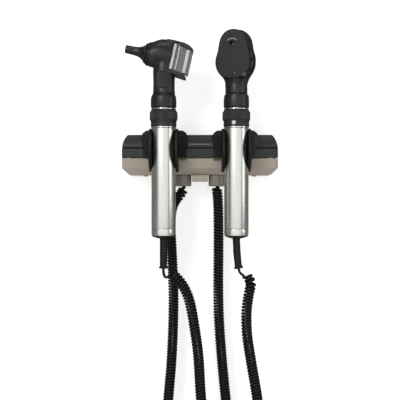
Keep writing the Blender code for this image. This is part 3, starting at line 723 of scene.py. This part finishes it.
def lens_block():
    """The clear slide-in magnifier: a faceted block with two grooves across each side."""
    outline = [(17.4, -9.4), (17.3, -15.4), (12.6, -27.2), (12.4, -33.0), (-15.4, -32.6),
               (-15.3, -27.0), (-13.6, -9.4)]
    half = LENS_HALF_WIDTH
    grooves = [slab([(20, a - 0.5), (20, a + 0.5), (-20, a + 0.5), (-20, a - 0.5)],
                    side * half - 0.7, side * half + 0.7, OPTIC)
               for a in (-15.0, -28.0) for side in (-1, 1)]
    return moulded("viewing_lens_fine", [slab(outline, -half, half, OPTIC)], grooves, 0.35, 7)


def make_otoscope():
    stand_in("oto_head_shell", otoscope_shell(), HEAD_BLACK, "otoscope_head")
    turned("oto_base", [
        (13.3, 70.0), (13.8, 69.2), (14.9, 66.6), (15.2, 64.0), (15.4, 60.0), (15.1, 54.0),
        (8.4, 54.0), (8.4, 70.0)], LEFT_AXIS, HEAD_BLACK, "otoscope_head", closed=True,
        fillet=0.6)
    stand_in("oto_label_panel", ridged_panel(), LABEL, "otoscope_head")
    turned("oto_speculum_mount", [
        (7.9, 25.0), (8.9, 20.8), (12.6, 20.8), (14.3, 18.4), (14.3, 17.2), (6.9, 17.2),
        (6.9, 25.0)], OPTIC, DARK_STEEL, "otoscope_head", closed=True, fillet=0.4)
    turned("ear_speculum", [
        (4.2, 46.6), (4.9, 45.4), (5.1, 36.0), (5.7, 31.0), (7.2, 27.0),
        (9.3, 24.0), (12.2, 22.2), (12.2, 21.1), (9.3, 21.1), (9.0, 22.0), (8.4, 25.3),
        (6.2, 27.3), (4.6, 31.0), (4.1, 36.0), (3.7, 46.4)], OPTIC, GLOSS_BLACK, "speculum",
        closed=True, fillet=0.9)
    stand_in("viewing_lens", lens_block(), CLEAR, "lens")
    for index, (start, end, low, high) in enumerate((
            (-10.0, -13.0, -13.6, 17.0), (-16.6, -17.7, -13.6, 14.4),
            (-25.8, -29.4, -15.0, 12.6))):
        strips = [slab([(high, start), (high, end), (low, end), (low, start)],
                       side * LENS_HALF_WIDTH - 0.35, side * LENS_HALF_WIDTH + 0.35, OPTIC)
                  for side in (-1, 1)]
        rib = link_piece("lens_rib_" + str(index + 1), fused(strips, 0.2), FROSTED)
        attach(rib, "lens")


make_otoscope()


# ---------------------------------------------------------------- ophthalmoscope

DIAL_X, DIAL_Z, DIAL_RADIUS = -1.9, 108.8, 23.3
WHEEL_X, WHEEL_Z = 11.8, 91.8
SIGHT_X, SIGHT_Z = -3.2, 129.3
LENS_COUNT, LENS_RING_RADIUS = 12, 20.5
SHELL_FOOT = [(16.8, 90.8), (14.4, 86.4), (13.2, 82.0)]
FRONT_FOOT = [(16.0, 93.0), (12.0, 90.2), (6.0, 89.2)]
PLATE_FOOT = [(15.4, 91.0), (10.9, 88.2), (5.2, 87.2)]
PLATE_SHIFT = -1.8
FACET_SLOPE, RIDGE_X, RIDGE_FORWARD = 0.1, -0.4, 0.7
MILLED_TEETH, FINGER_RIBS = 90, 18
FIRST_LENS_ANGLE = 93.6
ARC_RADIUS, ARC_START, ARC_SWEEP = 9.3, 50, 80


def facet_fall(x, unit=1.0):
    """How far back the face's two facets lie at x, from the plate as it was moulded."""
    return FACET_SLOPE * abs(x - RIDGE_X * unit) - RIDGE_FORWARD * unit


def oph_outline(inset, foot, shift=0.0):
    """A small circle above a large one, drawn in by inset, ending in the foot's points."""
    right = [(0.0, 148.2), (7.6, 146.8), (13.8, 142.6), (18.0, 136.4), (19.9, 129.0),
             (21.2, 121.5), (22.9, 115.5), (23.4, 108.8), (22.6, 102.0), (20.2, 96.0), *foot]
    points = [(x * (1 - inset / 22), 112 + (z - 112) * (1 - inset / 60))
              for x, z in smoothed(right, 5)]
    points += [(-x, z) for x, z in reversed(points[1:])]
    return [(x - 0.5 + shift, z) for x, z in points]


def facing(x, z, head=OPH_HEAD):
    """A place on the head's front whose own Z points at the viewer."""
    return head @ Matrix.Translation(Vector((x, 0, z)) * MM) @ FACING


def rear_shell():
    body = skin([[(x, y, z) for x, z in oph_outline(
        inset, foot, PLATE_SHIFT if y < 0 else 0)] for inset, y, foot in (
                     (2.3, -7.0, FRONT_FOOT), (2.0, -5.8, FRONT_FOOT), (0, 2.6, SHELL_FOOT),
                     (0, 4.4, SHELL_FOOT), (0.7, 6.5, SHELL_FOOT), (1.8, 8.8, SHELL_FOOT),
                     (3.6, 10.0, SHELL_FOOT))], OPH_HEAD)
    neck = skin(ovals(smoothed([
        (0, 13.2, 13.2, 70.3), (0, 13.2, 13.2, 76.0), (-0.2, 13.2, 12.4, 82.0),
        (-0.5, 13.6, 9.9, 88.5), (-0.5, 13.2, 8.1, 95.5)])), OPH_HEAD)
    hollow = slab(oph_outline(4.6, SHELL_FOOT[:2]), -9.2, 7.8, OPH_HEAD)
    seat = slab(oph_outline(2.4, PLATE_FOOT, PLATE_SHIFT), -16.15, -7.15, OPH_HEAD)
    cuts = [hollow, seat, round_bar(6.2, 60, 92, OPH_HEAD),
            round_bar(4.6, -13, -5, facing(SIGHT_X, 127.6)),
            round_bar(3.0, 4.8, 14, facing(WHEEL_X, WHEEL_Z)),
            round_bar(DIAL_RADIUS + 0.5, -1.6, 4.4, facing(DIAL_X, DIAL_Z)),
            round_bar(1.5, -14, 0, facing(DIAL_X, DIAL_Z))]
    return moulded("oph_rear_shell_fine", [body, neck], cuts, 0.42, 4)


def face_plate():
    """The front plate: two shallow facets that meet in an upright ridge."""
    cuts = [round_bar(2.6, 0, 20, facing(SIGHT_X, SIGHT_Z)),
            round_bar(1.5, 0, 20, facing(WHEEL_X, WHEEL_Z)),
            box((-2.4, -14, 91.4), (2.4, -5, 96.2), OPH_HEAD)]
    blank = slab(oph_outline(2.9, PLATE_FOOT, PLATE_SHIFT), -10.0, -7.3, OPH_HEAD)
    mesh = moulded("oph_front_shell_fine", [blank], cuts, 0.36, 3)
    to_head = OPH_HEAD.inverted()
    for vert in mesh.vertices:
        place = to_head @ vert.co
        if place.y < -8.6 * MM:
            share = min(1.0, (-8.6 * MM - place.y) / (1.2 * MM))
            place.y += share * facet_fall(place.x, MM)
            vert.co = OPH_HEAD @ place
    return mesh


def arc_mark():
    """The printed arc over the sight hole, as a thin raised strip."""
    columns = []
    for k in range(25):
        a = math.radians(ARC_START + ARC_SWEEP * k / 24)
        thick = 0.6 * math.sin(math.pi * (k + 1.5) / 27) ** 0.5
        inner, outer = ARC_RADIUS - thick, ARC_RADIUS + thick
        column = []
        for r, y in ((inner, -9.4), (outer, -9.4), (outer, -10.5), (inner, -10.5)):
            x = SIGHT_X + 0.2 + r * math.cos(a)
            front = y + (facet_fall(x) if y < -10 else 0)
            column.append((x, front, SIGHT_Z - 3.7 + r * math.sin(a)))
        columns.append(column)
    mark = link_piece("arc_mark", skin(columns, OPH_HEAD, "arc_mark"), GREY_MARK)
    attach(mark, "ophthalmoscope_head")


def milled(r, z, angle):
    """The finger edge of the lens dial."""
    if r < DIAL_RADIUS - 0.9 or r > DIAL_RADIUS + 0.1:
        return r
    return r - 0.45 * (0.5 - 0.5 * math.cos(MILLED_TEETH * angle))


def lens_dial():
    """The dial's disc, milled at its edge and bored for its ring of small lenses."""
    place = facing(DIAL_X, DIAL_Z)
    disc = turned_mesh("lens_dial_fine", [
        (DIAL_RADIUS, 4.0), (DIAL_RADIUS, -1.2), (2.2, -1.2), (2.2, 4.0)], place, True,
        segments=720, fillet=0.3, radial=milled)
    obj = temporary(disc)
    cutters = []
    for k in range(LENS_COUNT):
        a = math.radians(FIRST_LENS_ANGLE) + 2 * math.pi * k / LENS_COUNT
        spot = Matrix.Translation(Vector((math.cos(a), math.sin(a), 0)) * LENS_RING_RADIUS * MM)
        cutters.append(temporary(round_bar(2.2, -4, 6, place @ spot, 32)))
        cut = obj.modifiers.new("Seat", "BOOLEAN")
        cut.operation = "DIFFERENCE"
        cut.solver = "MANIFOLD"
        cut.object = cutters[-1]
        glass = turned_mesh("dial_glass", [(0, 2.6), (1.2, 2.45), (2.1, 2.0), (2.1, 0.8), (0, 0.8)],
                            place @ spot, False, 32, 0.1)
        lens = link_piece("dial_lens_" + str(k + 1), glass, CLEAR)
        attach(lens, "dial")
    mesh = evaluated(obj)
    for cutter in cutters:
        bpy.data.objects.remove(cutter, do_unlink=True)
    mesh.materials.clear()
    return mesh


def finger_knurl(r, z, angle):
    if r < 3.1 or not 10.5 < z < 12.3:
        return r
    return r - 0.3 * (0.5 - 0.5 * math.cos(FINGER_RIBS * angle))


def make_ophthalmoscope():
    body = "ophthalmoscope_head"
    stand_in("oph_rear_shell", rear_shell(), HEAD_BLACK, body)
    stand_in("oph_front_shell", face_plate(), FACE_BLACK, body)
    turned("oph_base", [
        (13.3, 70.0), (13.6, 69.4), (14.6, 68.4), (14.9, 66.0), (15.2, 62.0), (15.1, 54.0),
        (8.4, 54.0), (8.4, 70.0)], RIGHT_AXIS, HEAD_BLACK, body, closed=True, fillet=0.6)
    stand_in("oph_readout_window", moulded(
        "oph_readout_window_fine", [box((-2.15, -10.0, 91.65), (2.15, -7.6, 95.95), OPH_HEAD)],
        [], 0.2, 6), RED_WINDOW, body)
    turned("oph_eye_ring", [(2.7, 10.8), (3.6, 10.8), (4.2, 10.3), (2.7, 10.3)],
           facing(SIGHT_X, SIGHT_Z), RUBBER, body, closed=True, fillet=0.5)
    stand_in("lens_dial", lens_dial(), BLACK, "dial")
    turned("aperture_wheel", [
        (0, 12.6), (2.6, 12.6), (3.5, 12.0), (3.6, 10.4), (1.2, 10.3), (1.2, 7.0), (2.6, 7.0),
        (2.6, 5.0), (0, 5.0)], facing(WHEEL_X, WHEEL_Z), BLACK, "aperture_selector",
        segments=144, fillet=0.2, radial=finger_knurl)
    arc_mark()


make_ophthalmoscope()


# ---------------------------------------------------------------- wall unit

HALF_WIDTH, FRONT, REAR, BOTTOM, TOP = 95.5, -42.5, -0.8, -25.0, 24.0
SPLIT, CREASE, INSET, CHAMFER, SHELL_WALL = -5.0, 7.7, 6.7, 8.0, 2.2
HOME = Matrix.Identity(4)


def level_rectangle(half_x, front, rear, height, corner=1.6, count=5):
    """A level rectangle with an arc at each front corner, run from the side to the front.

    The right arc should run the other way: as it is, the outline crosses itself there, so the
    front and right side lean by the corner's radius and a small ridge stands at that corner."""
    ring = []
    for side in (-1, 1):
        for k in range(count + 1):
            a = math.pi / 2 * k / count
            ring.append((side * (half_x - corner * (1 - math.cos(a))),
                         front + corner * (1 - math.sin(a)), height))
    return [*ring, (half_x, rear, height), (-half_x, rear, height)]


def flare(axis):
    """The swelling that carries the cover's front forward to a cradle's side."""
    rings = []
    for k in range(13):
        share = k / 12
        swell = share ** 2.4
        half, low, high = 18.2 + 9.0 * swell, SPLIT + 0.3, 25.5 + 2.6 * swell
        y = 5.0 + 15.0 * share
        rings.append([(-half, y, low), (half, y, low), (half, y, high - 5), (half - 4, y, high),
                      (4 - half, y, high), (-half, y, high - 5)])
    return skin(rings, axis)


def upper_cover():
    shell = skin([
        level_rectangle(HALF_WIDTH, FRONT, REAR, SPLIT + 0.3),
        level_rectangle(HALF_WIDTH, FRONT, REAR, CREASE),
        level_rectangle(HALF_WIDTH - 0.9, FRONT + 1.0, REAR, 12.5),
        level_rectangle(HALF_WIDTH - 2.2, FRONT + 2.5, REAR, 17.0),
        level_rectangle(HALF_WIDTH - 4.2, FRONT + 4.5, REAR, 21.0),
        level_rectangle(HALF_WIDTH - INSET, FRONT + INSET, REAR, TOP)], HOME)
    pods = []
    for side in (-1, 1):
        place = Matrix.Translation((side * HANDLE_X, 0, 0))
        pods.append(skin([
            level_rectangle(28.0, FRONT, REAR, CREASE, 4),
            level_rectangle(28.0, FRONT, REAR, TOP - 1, 4),
            level_rectangle(26.6, FRONT, REAR, TOP + 2.2, 4),
            level_rectangle(22.8, FRONT + 1, REAR, 29.0, 4)], place))
    hollow = skin([
        level_rectangle(HALF_WIDTH - SHELL_WALL, FRONT + SHELL_WALL, 5, SPLIT - 5),
        level_rectangle(HALF_WIDTH - SHELL_WALL, FRONT + SHELL_WALL, 5, CREASE),
        level_rectangle(HALF_WIDTH - INSET - SHELL_WALL, FRONT + INSET + SHELL_WALL, 5,
                        TOP - SHELL_WALL)], HOME)
    groove = box((-100, FRONT - 1, CREASE - 0.8), (100, FRONT + 1.4, CREASE + 0.5))
    ends = [box((side * 95.2 - 0.9, FRONT - 5, CREASE - 0.8), (side * 95.2 + 0.9, 5, CREASE + 0.5))
            for side in (-1, 1)]
    flares = [flare(axis) for axis in (LEFT_AXIS, RIGHT_AXIS)]
    seats = [box((-17.7, -40, -30), (17.7, 19.3, 40), axis) for axis in (LEFT_AXIS, RIGHT_AXIS)]
    return moulded("upper_cover_fine", [shell, *pods, *flares],
                   [hollow, groove, *ends, *seats], 0.5, 3)


def lower_tray():
    rim, inner = BOTTOM + CHAMFER, HALF_WIDTH - CHAMFER
    shell = skin([
        level_rectangle(inner, FRONT + CHAMFER, REAR, BOTTOM),
        level_rectangle(HALF_WIDTH, FRONT, REAR, rim),
        level_rectangle(HALF_WIDTH, FRONT, REAR, SPLIT)], HOME)
    hollow = skin([
        level_rectangle(inner - 1, FRONT + CHAMFER + 1, 5, BOTTOM + SHELL_WALL),
        level_rectangle(HALF_WIDTH - SHELL_WALL, FRONT + SHELL_WALL, 5, rim + 1),
        level_rectangle(HALF_WIDTH - SHELL_WALL, FRONT + SHELL_WALL, 5, SPLIT + 5)], HOME)
    holes = [round_bar(1.8, -2, 4, Matrix.Translation(Vector((x, -16, BOTTOM)) * MM))
             for x in (-68, 68)]
    return moulded("lower_tray_fine", [shell], [hollow, *holes], 0.55, 2)


def cradle(axis):
    """A forked holder, bored for the handle and open at its front."""
    side_on = axis @ Matrix.Rotation(math.pi / 2, 4, "Z")
    fork = skin([[(-17.3, -17.0, z), (-16.3, -18.2, z), (16.3, -18.2, z), (17.3, -17.0, z),
                  (17.5, 19.2, z), (-17.5, 19.2, z)] for z in (-22, 29)], axis)
    # The arms reach furthest forward at half height and round away above and below it
    edge = []
    for z in range(29, -22, -2):
        share = abs(z - 5) / 25
        edge.append((-17.0 + 10.0 * share ** 2 + 9.0 * share ** 8, z))
    front = [(-40, 40), (12, 40), (12, 35), *edge, (8, -23), (12, -30), (12, -40), (-40, -40)]
    cuts = [slab(front, -40, 40, side_on), round_bar(14.8, -60, 60, axis, 96),
            box((-13.9, -30, -60), (13.9, -2, 60), axis)]
    return moulded("cradle", [fork], cuts, 0.5, 4)


def make_wall_unit():
    body = "wall_unit"
    stand_in("upper_cover", upper_cover(), BLACK, body)
    stand_in("lower_tray", lower_tray(), BEIGE, body)
    for label, side, axis in (("left", -1, LEFT_AXIS), ("right", 1, RIGHT_AXIS)):
        # The cradles carry painted shade: a darker, less reflective black than the cover's
        stand_in(label + "_cradle", cradle(axis), CRADLE_SHADE_BLACK, body)
        turned(label + "_gland", [
            (9.4, -25.3), (10.4, -26.3), (10.4, -38.2), (9.6, -39.0), (4.5, -39.0),
            (4.5, -25.3)], Matrix.Translation(Vector((side * 21.0, -25.0, 0)) * MM), GREY, body,
            closed=True, fillet=0.8)
        stand_in(label + "_indicator", moulded(label + "_indicator_fine", [box(
            (side * 20 - 3.4, FRONT - 0.9, SPLIT - 2.6),
            (side * 20 + 3.4, FRONT - 0.3, SPLIT + 0.6))], [], 0.15, 5), OLIVE, body)
        turned(label + "_cover_screw", [
            (0, -17.0), (1.4, -17.0), (1.4, -25.3), (2.8, -25.3), (2.8, -26.0), (2.3, -26.6),
            (0.9, -26.6), (0.9, -25.9), (0, -25.9)],
            Matrix.Translation(Vector((side * 68.0, -16.0, 0)) * MM), STEEL, body,
            segments=48, fillet=0.15)
    block = box((-9.8, -38.0, -33.0), (9.8, -12.0, BOTTOM - 0.3))
    socket = box((-6.5, -32.0, -36.0), (6.5, -18.0, -27.5))
    stand_in("inlet_block", moulded("inlet_block_fine", [block], [socket], 0.4, 4), BEIGE, body)
    # A light grey strip standing slightly proud of the cover's front between the pods
    stripe = link_piece("cover_stripe", moulded("cover_stripe", [box(
        (-14.0, FRONT + 0.3, 11.6), (14.0, FRONT + 2.0, 12.5))], [], 0.15, 4), GREY_MARK)
    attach(stripe, body)
    # Near-black strips in the crease groove across the front and round the sides: painted shade for
    # the groove's dark line
    low, high = CREASE - 0.7, CREASE + 0.4
    strips = [box((0.5 - HALF_WIDTH, FRONT + 0.35, low), (HALF_WIDTH - 0.5, FRONT + 1.2, high))]
    for side in (-1, 1):
        near, far = sorted((side * (HALF_WIDTH - 1.0), side * (HALF_WIDTH - 0.35)))
        strips.append(box((near, FRONT + 0.6, low), (far, REAR - 0.3, high)))
    shade_strip = link_piece("cover_groove_shade", fused(strips, 0.25), GROOVE_SHADE_BLACK)
    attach(shade_strip, body)


make_wall_unit()
